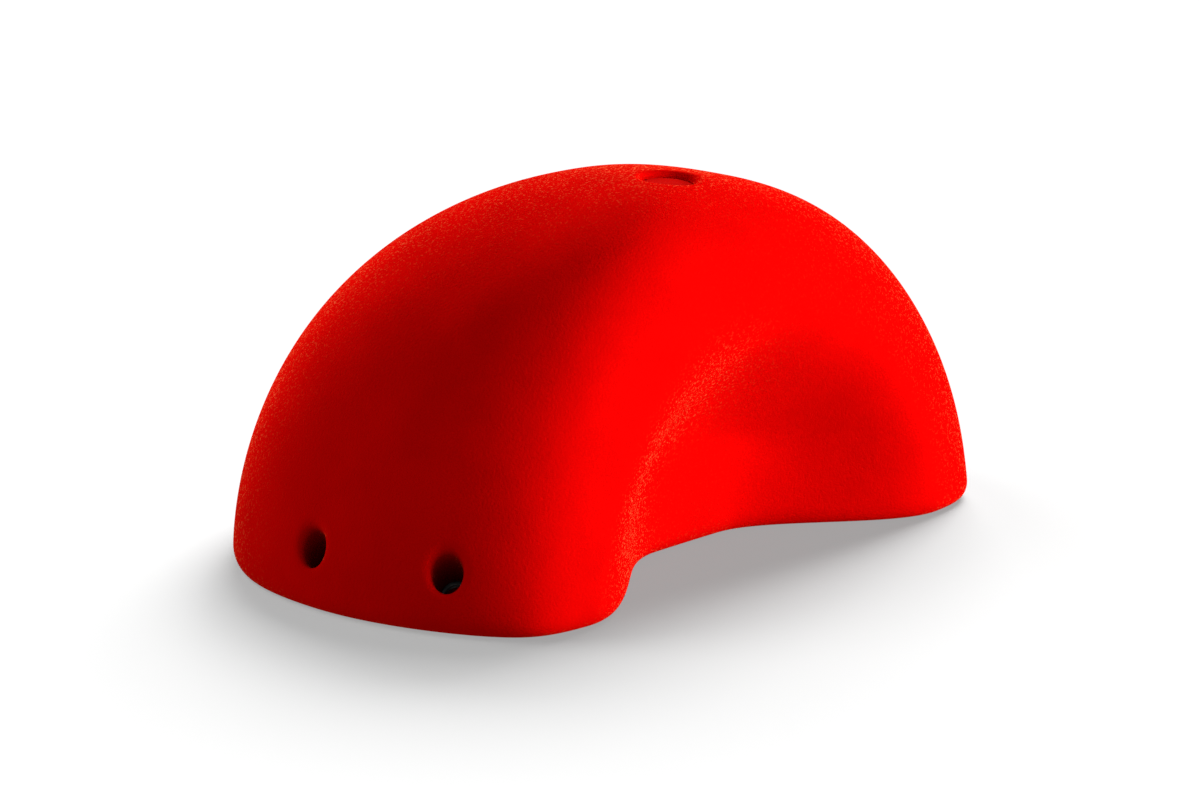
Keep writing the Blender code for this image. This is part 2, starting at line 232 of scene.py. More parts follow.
def buildHoldShell():
    # lofts an outline into the hold's dome, which closes towards the crown and has a pocket in front
    length, number = "NodeSocketFloat", "NodeSocketInt"
    tree, start, end = newGroup("holdShell", "GeometryNodeTree", [
        ("Outline", "NodeSocketGeometry", None),
        ("Length", length, casting["length"]),
        ("Height", length, casting["height"]),
        ("Front Depth", length, casting["frontDepth"]),
        ("Back Depth", length, casting["backDepth"]),
        ("Middle", length, casting["middle"]),
        ("Edge Inset", length, casting["edgeInset"]),
        ("Edge Height", length, casting["edgeHeight"]),
        ("Pocket Depth", length, casting["pocketDepth"]),
        ("Pocket Half Width", length, casting["pocketHalfWidth"]),
        ("Pocket Height", length, casting["pocketHeight"]),
        ("Steady Lean", length, casting["steadyLean"]),
        ("Late Lean", length, casting["lateLean"]),
        ("Wall", length, 0.0),
        ("Foot Drop", length, 0.0),
        ("Turns", number, casting["turns"]),
        ("Levels", number, casting["levels"]),
        ("Material", "NodeSocketMaterial", None),
    ], [("Geometry", "NodeSocketGeometry", None)])
    given = start.outputs
    links = tree.links

    # a drum with one column for each outline point; the open one only gives the side's normals
    drums = {}
    for fill in ("NGON", "NONE"):
        drum = tree.nodes.new("GeometryNodeMeshCylinder")
        drum.fill_type = fill
        drum.inputs["Radius"].default_value = 1.0
        drum.inputs["Depth"].default_value = 1.0
        links.new(given["Turns"], drum.inputs["Vertices"])
        links.new(given["Levels"], drum.inputs["Side Segments"])
        drums[fill] = drum.outputs["Mesh"]
    drumPlace = tree.nodes.new("GeometryNodeInputPosition").outputs[0]
    split = tree.nodes.new("ShaderNodeSeparateXYZ")
    links.new(drumPlace, split.inputs[0])
    turn = calc(tree, "ARCTAN2", split.outputs["Y"], split.outputs["X"])
    around = calc(tree, "DIVIDE", turn, 2 * math.pi)
    column = calc(tree, "ROUND", calc(tree, "MULTIPLY", around, given["Turns"]))
    column = calc(tree, "FLOORED_MODULO", column, given["Turns"])

    # heights crowd together at the rounded edge and at the crown
    climb = calc(tree, "POWER", calc(tree, "ADD", split.outputs["Z"], 0.5), casting["crowding"])
    share = calc(tree, "SINE", calc(tree, "MULTIPLY", climb, math.radians(casting["lastRing"])))
    z = calc(tree, "MULTIPLY", share, given["Height"])

    # the foot's outline turns into the crown's
    places = []
    for source in ("position", "crownPlace"):
        if source == "position":
            value = tree.nodes.new("GeometryNodeInputPosition").outputs[0]
        else:
            named = tree.nodes.new("GeometryNodeInputNamedAttribute")
            named.data_type = "FLOAT_VECTOR"
            named.inputs["Name"].default_value = source
            value = named.outputs["Attribute"]
        sample = tree.nodes.new("GeometryNodeSampleIndex")
        sample.data_type = "FLOAT_VECTOR"
        links.new(given["Outline"], sample.inputs["Geometry"])
        links.new(value, sample.inputs["Value"])
        links.new(column, sample.inputs["Index"])
        places.append(sample.outputs["Value"])
    blend = tree.nodes.new("ShaderNodeMix")
    blend.data_type = "VECTOR"
    links.new(calc(tree, "POWER", share, casting["outlineBlend"]), blend.inputs[0])
    links.new(places[0], blend.inputs[4])
    links.new(places[1], blend.inputs[5])
    outline = tree.nodes.new("ShaderNodeSeparateXYZ")
    links.new(blend.outputs[1], outline.inputs[0])
    across, deep = outline.outputs["X"], outline.outputs["Y"]

    # the rounded edge draws the lowest outlines in
    risen = calc(tree, "MINIMUM", calc(tree, "DIVIDE", z, given["Edge Height"]), 1.0)
    low = calc(tree, "SUBTRACT", 1.0, risen)
    roundness = calc(tree, "SQRT", calc(tree, "SUBTRACT", 1.0, calc(tree, "MULTIPLY", low, low)))
    inset = calc(tree, "MULTIPLY", given["Edge Inset"], calc(tree, "SUBTRACT", 1.0, roundness))

    def halfWidth(size, close):
        full = calc(tree, "MULTIPLY", size, closingShare(tree, share, *close))
        return calc(tree, "SUBTRACT", full, inset)

    halfLength = calc(tree, "MULTIPLY", given["Length"], 0.5)
    x = calc(tree, "MULTIPLY", halfWidth(halfLength, casting["endClose"]), across)
    isFront = calc(tree, "LESS_THAN", deep, 0.0)
    isBack = calc(tree, "SUBTRACT", 1.0, isFront)
    front = calc(tree, "MULTIPLY", halfWidth(given["Front Depth"], casting["frontClose"]), isFront)
    back = calc(tree, "MULTIPLY", halfWidth(given["Back Depth"], casting["backClose"]), isBack)
    y = calc(tree, "MULTIPLY", calc(tree, "ADD", front, back), deep)

    # the finger pocket: an arch scooped out of the front
    acrossShare = calc(tree, "DIVIDE", calc(tree, "ABSOLUTE", x), given["Pocket Half Width"])
    upShare = calc(tree, "DIVIDE", z, given["Pocket Height"])
    arch = casting["pocketArch"]
    reach = calc(tree, "ADD", calc(tree, "POWER", acrossShare, arch), calc(tree, "POWER", upShare, arch))
    reach = calc(tree, "POWER", reach, 1 / arch)
    flat = easeBetween(tree, upShare, 0.0, casting["flatRise"], *casting["pocketFlat"])
    scoop = easeBetween(tree, reach, flat, 1.0, given["Pocket Depth"], 0.0)
    forward = calc(tree, "MULTIPLY", deep, -1.0)
    fade = easeBetween(tree, forward, *casting["pocketFade"], 0.0, 1.0)
    y = calc(tree, "ADD", y, calc(tree, "MULTIPLY", scoop, fade))

    # the crown leans forward: a steady lean, and a late one near the top
    for lean, rise in (("Steady Lean", casting["steadyRise"]), ("Late Lean", casting["lateRise"])):
        leant = calc(tree, "MULTIPLY", given[lean], calc(tree, "POWER", share, rise))
        y = calc(tree, "SUBTRACT", y, leant)
    y = calc(tree, "SUBTRACT", y, given["Middle"])
    justAboveFoot = -0.49999  # in the drum's own height, which runs from -0.5 to 0.5
    isFoot = calc(tree, "LESS_THAN", split.outputs["Z"], justAboveFoot)
    z = calc(tree, "SUBTRACT", z, calc(tree, "MULTIPLY", isFoot, given["Foot Drop"]))
    place = tree.nodes.new("ShaderNodeCombineXYZ")
    for socket, value in zip(place.inputs, (x, y, z)):
        links.new(value, socket)

    shells = {}
    for fill, drum in drums.items():
        lay = tree.nodes.new("GeometryNodeSetPosition")
        links.new(drum, lay.inputs["Geometry"])
        links.new(place.outputs[0], lay.inputs["Position"])
        shells[fill] = lay.outputs["Geometry"]

    # a hollow is the same dome, moved in by the wall along the side's normals
    side = tree.nodes.new("GeometryNodeSampleIndex")
    side.data_type = "FLOAT_VECTOR"
    links.new(shells["NONE"], side.inputs["Geometry"])
    links.new(tree.nodes.new("GeometryNodeInputNormal").outputs[0], side.inputs["Value"])
    links.new(tree.nodes.new("GeometryNodeInputIndex").outputs[0], side.inputs["Index"])
    inward = tree.nodes.new("ShaderNodeVectorMath")
    inward.operation = "SCALE"
    links.new(side.outputs["Value"], inward.inputs[0])
    links.new(calc(tree, "MULTIPLY", given["Wall"], -1.0), inward.inputs["Scale"])
    move = tree.nodes.new("GeometryNodeSetPosition")
    links.new(shells["NGON"], move.inputs["Geometry"])
    links.new(inward.outputs[0], move.inputs["Offset"])

    realize = tree.nodes.new("GeometryNodeRealizeInstances")
    paint = tree.nodes.new("GeometryNodeSetMaterial")
    links.new(move.outputs["Geometry"], realize.inputs["Geometry"])
    links.new(realize.outputs["Geometry"], paint.inputs["Geometry"])
    links.new(given["Material"], paint.inputs["Material"])
    links.new(paint.outputs["Geometry"], end.inputs["Geometry"])
    return tree


def loftShell(tree, name, turns, levels, material, **values):
    made = outlineObject(name, turns)
    modifier = made.modifiers.new("shell", "NODES")
    modifier.node_group = tree
    setInputs(modifier, {"Turns": turns, "Levels": levels, "Material": material, **values})
    return bake(made, name)


# Materials. Grain and mottle are groups that more than one finish uses.

sand = {
    "layers": ((1.0, 2.0), (2.6, 1.0)),  # coarse and fine relief: times the grain's scale, and detail
    "roughness": 0.55,
    "pitScale": 0.45,
    "pitRim": (0.08, 0.30),
    "tips": (0.58, 0.66),  # the coarse relief at which the tips begin, and at which they are whole
}
patches = {
    "detail": 5.0,
    "roughness": 0.6,
    "rim": (0.35, 0.65),
}


def buildSandGrain():
    # fine sandy relief with a few deeper pits, and the tips of its highest grains
    tree, start, end = newGroup("sandGrain", "ShaderNodeTree", [
        ("Vector", "NodeSocketVector", None),
        ("Grain Scale", "NodeSocketFloat", 1100.0),
        ("Fine Share", "NodeSocketFloat", 0.4),
        ("Pit Share", "NodeSocketFloat", 0.3),
    ], [("Height", "NodeSocketFloat", None), ("Tips", "NodeSocketFloat", None)])
    given = start.outputs
    relief = []
    for times, detail in sand["layers"]:
        noise = tree.nodes.new("ShaderNodeTexNoise")
        noise.inputs["Detail"].default_value = detail
        noise.inputs["Roughness"].default_value = sand["roughness"]
        tree.links.new(given["Vector"], noise.inputs["Vector"])
        tree.links.new(calc(tree, "MULTIPLY", given["Grain Scale"], times), noise.inputs["Scale"])
        relief.append(noise.outputs[0])
    cells = tree.nodes.new("ShaderNodeTexVoronoi")
    tree.links.new(given["Vector"], cells.inputs["Vector"])
    tree.links.new(calc(tree, "MULTIPLY", given["Grain Scale"], sand["pitScale"]), cells.inputs["Scale"])
    pits = easeBetween(tree, cells.outputs["Distance"], *sand["pitRim"], 1.0, 0.0)
    height = calc(tree, "ADD", relief[0], calc(tree, "MULTIPLY", relief[1], given["Fine Share"]))
    height = calc(tree, "SUBTRACT", height, calc(tree, "MULTIPLY", pits, given["Pit Share"]))
    tree.links.new(height, end.inputs["Height"])
    tree.links.new(easeBetween(tree, relief[0], *sand["tips"], 0.0, 1.0), end.inputs["Tips"])
    return tree


def buildSoftMottle():
    # slow change of colour over a surface, such as a casting's
    tree, start, end = newGroup("softMottle", "ShaderNodeTree", [
        ("Vector", "NodeSocketVector", None),
        ("Patch Scale", "NodeSocketFloat", 45.0),
        ("Light Colour", "NodeSocketColor", (0.8, 0.8, 0.8, 1)),
        ("Dark Colour", "NodeSocketColor", (0.7, 0.7, 0.7, 1)),
    ], [("Colour", "NodeSocketColor", None), ("Mask", "NodeSocketFloat", None)])
    given = start.outputs
    noise = tree.nodes.new("ShaderNodeTexNoise")
    noise.inputs["Detail"].default_value = patches["detail"]
    noise.inputs["Roughness"].default_value = patches["roughness"]
    tree.links.new(given["Vector"], noise.inputs["Vector"])
    tree.links.new(given["Patch Scale"], noise.inputs["Scale"])
    mask = easeBetween(tree, noise.outputs[0], *patches["rim"], 0.0, 1.0)
    blend = mixColours(tree, mask, given["Light Colour"], given["Dark Colour"])
    tree.links.new(blend, end.inputs["Colour"])
    tree.links.new(mask, end.inputs["Mask"])
    return tree


sandGrain = buildSandGrain()
softMottle = buildSoftMottle()


def useGroup(tree, group, **values):
    node = tree.nodes.new("ShaderNodeGroup")
    node.node_tree = group
    for name, value in values.items():
        plug(tree, node.inputs[name], value)
    return node.outputs


def makeFinish(name, look):
    # a Principled material with mottled colour, grain in its relief and roughness that follows both; it
    # can also carry painted shade in the wells and a painted glint
    made = bpy.data.materials.new(name)
    made.use_nodes = True
    tree = made.node_tree
    shader = tree.nodes["Principled BSDF"]
    for socket, value in look["surface"].items():
        shader.inputs[socket].default_value = value
    place = tree.nodes.new("ShaderNodeTexCoord").outputs["Object"]
    mottle = useGroup(tree, softMottle, **{
        "Vector": place,
        "Patch Scale": look["patchScale"],
        "Light Colour": (*look["light"], 1),
        "Dark Colour": (*look["dark"], 1),
    })
    grain = useGroup(tree, sandGrain, **{
        "Vector": place,
        "Grain Scale": look["grainScale"],
        "Fine Share": look["fineShare"],
        "Pit Share": look["pitShare"],
    })
    colour = mottle["Colour"]
    if "deep" in look:
        # painted shade: the wells' colour darkens with their depth under the skin, where shade falls
        depth = tree.nodes.new("ShaderNodeAttribute")
        depth.attribute_name = "paintedWellShade"
        colour = mixColours(tree, depth.outputs["Fac"], colour, (*look["deep"], 1))
    if "paintedGlint" in look:
        # painted glint: tips of sand get a lighter orange colour where the surface turns away from view
        facing = tree.nodes.new("ShaderNodeLayerWeight").outputs["Facing"]
        share = calc(tree, "MULTIPLY", calc(tree, "POWER", facing, look["paintedGlintRise"]), grain["Tips"])
        colour = mixColours(tree, share, colour, (*look["paintedGlint"], 1))
    if "sheenAtTips" in look:
        # the tips carry most of the sheen
        sheen = calc(tree, "MULTIPLY", grain["Tips"], look["sheenAtTips"])
        tree.links.new(calc(tree, "ADD", sheen, look["sheenBetween"]), shader.inputs["Sheen Weight"])
    tree.links.new(colour, shader.inputs["Base Color"])
    spread = calc(tree, "MULTIPLY", mottle["Mask"], look["roughnessSpread"])
    tree.links.new(calc(tree, "ADD", look["roughness"], spread), shader.inputs["Roughness"])
    bump = tree.nodes.new("ShaderNodeBump")
    bump.inputs["Strength"].default_value = look["relief"]
    bump.inputs["Distance"].default_value = look["reliefDepth"]
    tree.links.new(grain["Height"], bump.inputs["Height"])
    tree.links.new(bump.outputs["Normal"], shader.inputs["Normal"])
    return made


castRed = makeFinish("castRed", {
    "light": (0.79, 0.0009, 0.0006),
    "dark": (0.73, 0.0007, 0.0005),
    # painted shade: the colour deep inside the wells
    "deep": (0.20, 0.0006, 0.0004),
    # painted glint: the colour of sand tips where the surface turns away
    "paintedGlint": (1.0, 0.28, 0.09),
    "paintedGlintRise": 5.0,
    "sheenAtTips": 1.0,
    "sheenBetween": 0.10,
    "patchScale": 45.0,
    "roughness": 0.52,
    "roughnessSpread": 0.10,
    "grainScale": 1150.0,
    "fineShare": 0.45,
    "pitShare": 0.30,
    "relief": 0.36,
    "reliefDepth": 0.0004,
    "surface": {
        "Specular IOR Level": 0.0,
        "Sheen Roughness": 0.22,
        "Sheen Tint": (1.0, 0.14, 0.05, 1),
    },
})
glossRed = makeFinish("glossRed", {
    "light": (0.62, 0.004, 0.0025),
    "dark": (0.56, 0.003, 0.002),
    "patchScale": 90.0,
    "roughness": 0.22,
    "roughnessSpread": 0.06,
    "grainScale": 700.0,
    "fineShare": 0.1,
    "pitShare": 0.0,
    "relief": 0.05,
    "reliefDepth": 0.0002,
    "surface": {"IOR": 1.50, "Specular IOR Level": 0.0001},
})
zincSteel = makeFinish("zincSteel", {
    "light": (0.07, 0.07, 0.07),
    "dark": (0.04, 0.04, 0.04),
    "patchScale": 300.0,
    "roughness": 0.50,
    "roughnessSpread": 0.15,
    "grainScale": 1500.0,
    "fineShare": 0.3,
    "pitShare": 0.1,
    "relief": 0.10,
    "reliefDepth": 0.0001,
    "surface": {"Metallic": 1.0},
})
print("materials made")


# The casting's skin and its hollow

def closedShape(name, rings, centre=None):
    # a closed shape through rings of equal count, from the bottom up
    shape = bmesh.new()
    levels = [[shape.verts.new(point) for point in level] for level in rings]
    for lower, upper in zip(levels, levels[1:]):
        for i in range(len(lower)):
            j = (i + 1) % len(lower)
            shape.faces.new((lower[i], lower[j], upper[j], upper[i]))
    for level, tip, turned in ((levels[0], None, True), (levels[-1], centre, False)):
        pole = shape.verts.new(tip or sum((v.co for v in level), Vector()) / len(level))
        for i in range(len(level)):
            pair = (level[i], level[(i + 1) % len(level)])
            shape.faces.new((*(reversed(pair) if turned else pair), pole))
    mesh = bpy.data.meshes.new(name)
    shape.to_mesh(mesh)
    shape.free()
    return addObject(name, mesh)


def subtract(target, cutter):
    boolean = target.modifiers.new(cutter.name, "BOOLEAN")
    boolean.operation = "DIFFERENCE"
    boolean.solver = "EXACT"
    boolean.object = cutter


holdShell = buildHoldShell()
skin = loftShell(holdShell, "castingSkin", casting["turns"], casting["levels"], castRed)
hollow = loftShell(holdShell, "castingHollow", casting["hollowTurns"], casting["hollowLevels"], castRed,
                   **{"Wall": casting["wall"], "Edge Inset": 0.0, "Foot Drop": casting["overcut"]})
skinFaces = [face.vertices for face in skin.data.polygons]
skinTree = BVHTree.FromPolygons([point.co for point in skin.data.vertices], skinFaces)
print("casting skin:", len(skin.data.vertices), "points")

# Screw wells: round bores that slant in to a flat seat, with a rounded lip where they open

wells = {
    "bore": 0.0049,
    "hole": 0.0032,
    "lipSetback": 0.0035,
    "lipSteps": 10,
    "lipEnd": 0.94,  # the share of the lip's curve after which it leaves the skin
    "halvings": 24,
    "wallShares": (0.35, 0.7),
    "far": 0.05,  # how far up the axis the lines towards the skin start
    "beyond": (0.001, 0.004),  # how far past its lip the cutter goes on
    "tipHeight": 0.012,
    "around": 96,
    "bossWall": 0.005,
    "darkAt": 0.0042,  # as far as this under the skin the painted shade in the wells deepens
    "markedLips": 1.3,  # how many lip setbacks round the bore are marked
    "markedBelow": 0.001,
    "seats": {
        "left_front": ((-0.12199, -0.05894, 0.0205), (-0.11234, -0.05409, 0.0085)),
        "left_back": ((-0.13256, -0.01205, 0.0205), (-0.12176, -0.0121, 0.0085)),
        "right_front": ((0.12199, -0.05894, 0.0205), (0.11234, -0.05409, 0.0085)),
        "right_back": ((0.13256, -0.01205, 0.0205), (0.12176, -0.0121, 0.0085)),
    },
}


def squareTo(axis):
    # two directions across an axis, which turn counter-clockwise seen from its tip
    first = axis.orthogonal().normalized()
    return first, axis.cross(first)


def skinAlong(start, direction):
    # the place where a line from outside first meets the skin
    return skinTree.ray_cast(start, direction)[0]


def lipPoints(corner, inside, outside):
    # a rounded edge from the bore's wall to the skin, which leaves the skin just before it lies on it
    steps, last = wells["lipSteps"], wells["lipEnd"]
    points = []
    for i in range(steps + 1):
        s = last * i / steps
        points.append(inside * (1 - s) ** 2 + corner * (2 * s * (1 - s)) + outside * s**2)
    leaving = (outside - corner) * last + (corner - inside) * (1 - last)
    return points, leaving.normalized()


def outOnSkin(corner, start, outward, axis):
    # the skin's point that lies a setback away from a corner of the opening
    setback = wells["lipSetback"]
    low, high = 0.0, setback
    for i in range(wells["halvings"]):
        middle = (low + high) / 2
        found = skinAlong(start + outward * middle, -axis)
        if (found - corner).length < setback:
            low = middle
        else:
            high = middle
    return found


def wellCutter(name, spot, seat):
    spot, seat = Vector(spot), Vector(seat)
    axis = (spot - seat).normalized()
    first, second = squareTo(axis)
    through = -(seat.z + 2 * casting["overcut"]) / axis.z
    columns = []
    for i in range(wells["around"]):
        turn = 2 * math.pi * i / wells["around"]
        outward = first * math.cos(turn) + second * math.sin(turn)
        wall = seat + outward * wells["bore"]
        start = wall + axis * wells["far"]
        corner = skinAlong(start, -axis)
        inside = corner - axis * wells["lipSetback"]
        outside = outOnSkin(corner, start, outward, axis)
        lip, leaving = lipPoints(corner, inside, outside)
        hole = seat + outward * wells["hole"]
        column = [hole + axis * through, hole, wall]
        column += [wall.lerp(inside, share) for share in wells["wallShares"]]
        column += lip + [lip[-1] + leaving * reach for reach in wells["beyond"]]
        columns.append(column)
    return closedShape(name, list(zip(*columns)), spot + axis * wells["tipHeight"])


def roundBar(name, low, high, radius, around=64):
    # a plain round solid between two points
    axis = (high - low).normalized()
    first, second = squareTo(axis)
    turns = [2 * math.pi * i / around for i in range(around)]
    spokes = [(first * math.cos(turn) + second * math.sin(turn)) * radius for turn in turns]
    return closedShape(name, [[end + spoke for spoke in spokes] for end in (low, high)])


def ribBlock(name, x):
    half = casting["ribThickness"] / 2
    deep = casting["frontDepth"] + casting["backDepth"]
    low, high = -2 * casting["overcut"], casting["height"]
    corners = [(x + half, -deep), (x + half, deep), (x - half, deep), (x - half, -deep)]
    return closedShape(name, [[Vector((*corner, z)) for corner in corners] for z in (low, high)])


def joinMeshes(name, group):
    shape = bmesh.new()
    for piece in group:
        shape.from_mesh(piece.data)
        bpy.data.objects.remove(piece)
    mesh = bpy.data.meshes.new(name)
    shape.to_mesh(mesh)
    shape.free()
    return addObject(name, mesh)


kept = [ribBlock("rib", side * casting["ribSpacing"] / 2) for side in (-1, 1)]
for name, (spot, seat) in wells["seats"].items():
    spot, seat = Vector(spot), Vector(seat)
    axis = (spot - seat).normalized()
    radius = wells["bore"] + wells["bossWall"]
    below = -seat.z / axis.z - 2 * radius
    kept.append(roundBar("boss_" + name, seat + axis * below, spot + axis * 2 * radius, radius))
for piece in kept:
    subtract(hollow, piece)
hollow = bake(hollow, "castingHollow")
for piece in kept:
    bpy.data.objects.remove(piece)
cutters = [hollow] + [wellCutter("well_" + name, *place) for name, place in wells["seats"].items()]
print("hollow, ribs, bosses and wells shaped")

# Crown disc and the soft dish round it

crown = {
    "spot": (0.0, -0.0372, 0.11988),
    "tilt": 4.0,  # forward, in degrees, with the dome there
    "discRadius": 0.00825,
    "gap": 0.0003,
    "base": -0.0038,  # the disc's underside along its axis, from the spot
    "thickness": 0.0015,
    "dome": 0.0003,
    "edge": 0.0005,
    "footEdge": 0.0002,
    "topSteps": 24,
    "edgeSteps": 6,
    "beadHeight": 0.00012,
    "beadWidth": 0.00028,
    "beadPlace": 0.86,  # as a share of the disc's radius
    "sharpAngle": 40,
    "dishWidth": 0.0025,
    "dishDepth": 0.0025,
    "leastDepth": 0.00025,
    "hollowPull": 0.25,  # how far the dish's curve follows its floor, and then the skin
    "shoulderPull": 0.75,
    "dishSteps": 10,
    "dishEnd": 0.95,  # the share of the dish's curve after which it leaves the skin
    "dishLift": 0.05,
    "far": 0.02,
    "step": 0.0005,  # between the two places that give the skin's slope at the dish's rim
    "beyond": (0.001, 0.003),
    "tipHeight": 0.006,
    "around": 96,
}


def crownRings(profile):
    # rings of points round the crown disc's axis, from radius and place along it
    tilt = math.radians(crown["tilt"])
    axis = Vector((0, -math.sin(tilt), math.cos(tilt)))
    sideways, deep = Vector((1, 0, 0)), axis.cross(Vector((1, 0, 0)))
    spot = Vector(crown["spot"])
    turns = [2 * math.pi * i / crown["around"] for i in range(crown["around"])]
    spokes = [sideways * math.cos(turn) + deep * math.sin(turn) for turn in turns]
    rings = [[spot + axis * along + spoke * radius for spoke in spokes] for radius, along in profile]
    return rings, axis


def dishCutter(name):
    # the disc's pocket, and a soft dish that runs out into the skin
    pocket = crown["discRadius"] + crown["gap"]
    width, far = crown["dishWidth"], crown["far"]
    (bottoms, lows, highs, rims, beyonds), axis = crownRings([
        (pocket, crown["base"] - crown["gap"]),
        (pocket, -crown["dishDepth"]),
        (pocket, far),
        (pocket + width, far),
        (pocket + width + crown["step"], far),
    ])
    columns = []
    for bottom, low, *starts in zip(bottoms, lows, highs, rims, beyonds):
        near, rim, beyond = [skinAlong(start, -axis) for start in starts]
        outward = (starts[1] - starts[0]).normalized()
        drop = (near - low).dot(axis)
        low = near - axis * max(drop, crown["leastDepth"])
        along = (beyond - rim).normalized()
        floorPull = low + outward * width * crown["hollowPull"]
        rimPull = rim - along * width * crown["shoulderPull"]
        pulls = (low, floorPull, rimPull, rim)
        lip = []
        for step in range(crown["dishSteps"] + 1):
            s = crown["dishEnd"] * step / crown["dishSteps"]
            weights = ((1 - s) ** 3, 3 * s * (1 - s) ** 2, 3 * s**2 * (1 - s), s**3)
            lip.append(sum((pull * weight for pull, weight in zip(pulls, weights)), Vector()))
        leaving = (lip[-1] - lip[-2]).normalized() + axis * crown["dishLift"]
        columns.append([bottom] + lip + [lip[-1] + leaving * reach for reach in crown["beyond"]])
    return closedShape(name, list(zip(*columns)), Vector(crown["spot"]) + axis * crown["tipHeight"])


def markPaintedWellShade(made):
    # keeps each point's depth under the skin, 0 to 1, as the share of painted shade inside the wells
    points = np.empty(3 * len(made.data.vertices))
    made.data.vertices.foreach_get("co", points)
    points = points.reshape(-1, 3)
    depth = np.zeros(len(points))
    widest = wells["bore"] + wells["markedLips"] * wells["lipSetback"]
    for spot, seat in wells["seats"].values():
        spot, seat = np.array(spot), np.array(seat)
        axis = (spot - seat) / np.linalg.norm(spot - seat)
        along = (points - seat) @ axis
        off = np.linalg.norm(points - seat - along[:, None] * axis, axis=1)
        for i in np.nonzero((off < widest) & (along > -wells["markedBelow"]))[0]:
            under = skinTree.find_nearest(Vector(points[i]))[3] / wells["darkAt"]
            depth[i] = min(under, 1.0)
    smooth = depth**2 * (3 - 2 * depth)
    made.data.attributes.new("paintedWellShade", "FLOAT", "POINT").data.foreach_set("value", smooth)


cutters.append(dishCutter("crown_dish"))
cutter = joinMeshes("castingCutter", cutters)
subtract(skin, cutter)
holdCasting = bake(skin, "holdCasting")
bpy.data.objects.remove(cutter)
paintAll(holdCasting, castRed)
markPaintedWellShade(holdCasting)
holdCasting.data.shade_smooth()
holdCasting.data.set_sharp_from_angle(angle=math.radians(casting["sharpAngle"]))
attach(holdCasting, "root")
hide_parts("hold_body")
print("casting cut:", len(holdCasting.data.polygons), "faces")


def turnedDisc(name, material):
    # a slightly domed disc with a rounded edge and a fine bead near it
    radius, thickness, edge = crown["discRadius"], crown["thickness"], crown["edge"]
    profile = []
    for i in range(1, crown["topSteps"] + 1):
        share = i / crown["topSteps"]
        r = share * (radius - edge)
        offBead = (r - radius * crown["beadPlace"]) / crown["beadWidth"]
        bead = crown["beadHeight"] * math.exp(-(offBead**2))
        profile.append((r, thickness - crown["dome"] * share**2 + bead))
    top = profile[-1][1]
    for i in range(1, crown["edgeSteps"] + 1):
        turn = math.pi / 2 * i / crown["edgeSteps"]
        profile.append((radius - edge * (1 - math.sin(turn)), top - edge * (1 - math.cos(turn))))
    profile += [(radius, crown["footEdge"]), (radius - crown["footEdge"], 0.0)]
    rings, axis = crownRings([(r, crown["base"] + z) for r, z in reversed(profile)])
    made = closedShape(name, rings, Vector(crown["spot"]) + axis * (crown["base"] + thickness))
    made.data.materials.append(material)
    made.data.shade_smooth()
    made.data.set_sharp_from_angle(angle=math.radians(crown["sharpAngle"]))
    return made


crownDisc = turnedDisc("crownDisc", glossRed)
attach(crownDisc, "root")
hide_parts("badge_disc")
print("crown disc turned")

# Screw washers: one steel ring on each seat

washers = {
    "outerRadius": 0.0046,
    "innerRadius": 0.0032,
    "thickness": 0.0016,
    "lift": 0.0003,
    "roundedEdge": 0.0003,
    "edgeSteps": 4,
    "around": 64,
}


